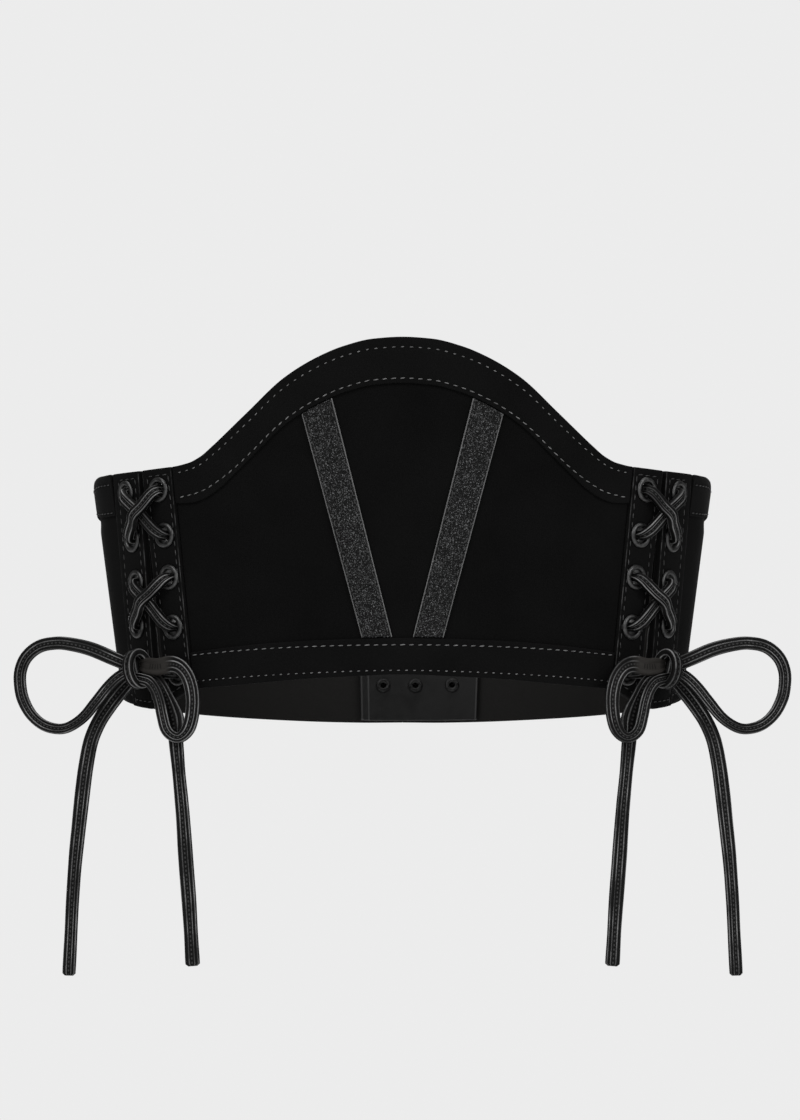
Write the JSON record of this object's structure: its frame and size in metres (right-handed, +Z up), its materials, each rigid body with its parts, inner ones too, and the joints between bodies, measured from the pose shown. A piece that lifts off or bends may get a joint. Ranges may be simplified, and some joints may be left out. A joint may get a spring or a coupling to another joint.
{
  "type": "lace-up corset belt",
  "caption": "Wide black corset belt with a domed front, two leather straps down it and laced sides tied in bows.",
  "frame": {"origin": "centre of the waist opening, level with the middle of the hem", "axes": "+Z up, -Y towards the front panel, +X towards the right of a viewer in front"},
  "size_m": [0.3434, 0.1981, 0.2726],
  "materials": {
    "suede": "black suede, matt nap",
    "grained_leather": "black pebbled leather, satin",
    "smooth_leather": "black smooth leather, satin",
    "lace_leather": "black folded leather lace, semi-gloss",
    "dark_metal": "black nickel, satin",
    "thread": "grey sewing thread"
  },
  "bodies": {
    "root": {"front_panel": "suede", "top_facing": "suede", "bottom_band": "suede", "front_placket_left": "suede", "back_placket_left": "suede", "back_panel_left": "suede", "back_facing_left": "suede", "strap_left": "grained_leather", "eyelet_front_left_1": "dark_metal", "eyelet_front_left_2": "dark_metal", "eyelet_front_left_3": "dark_metal", "eyelet_front_left_4": "dark_metal", "eyelet_front_left_5": "dark_metal", "eyelet_back_left_1": "dark_metal", "eyelet_back_left_2": "dark_metal", "eyelet_back_left_3": "dark_metal", "eyelet_back_left_4": "dark_metal", "eyelet_back_left_5": "dark_metal", "knot_left": "lace_leather", "lace_left": "lace_leather", "loop_back_left": "lace_leather", "loop_front_left": "lace_leather", "tail_back_left": "lace_leather", "tail_front_left": "lace_leather", "front_placket_right": "suede", "back_placket_right": "suede", "back_panel_right": "suede", "back_facing_right": "suede", "strap_right": "grained_leather", "eyelet_front_right_1": "dark_metal", "eyelet_front_right_2": "dark_metal", "eyelet_front_right_3": "dark_metal", "eyelet_front_right_4": "dark_metal", "eyelet_front_right_5": "dark_metal", "eyelet_back_right_1": "dark_metal", "eyelet_back_right_2": "dark_metal", "eyelet_back_right_3": "dark_metal", "eyelet_back_right_4": "dark_metal", "eyelet_back_right_5": "dark_metal", "knot_right": "lace_leather", "lace_right": "lace_leather", "loop_back_right": "lace_leather", "loop_front_right": "lace_leather", "tail_back_right": "lace_leather", "tail_front_right": "lace_leather", "back_tab": "smooth_leather", "tab_eyelet_1": "dark_metal", "tab_eyelet_2": "dark_metal", "tab_eyelet_3": "dark_metal", "back_stud": "dark_metal"}
  },
  "joints": []
}
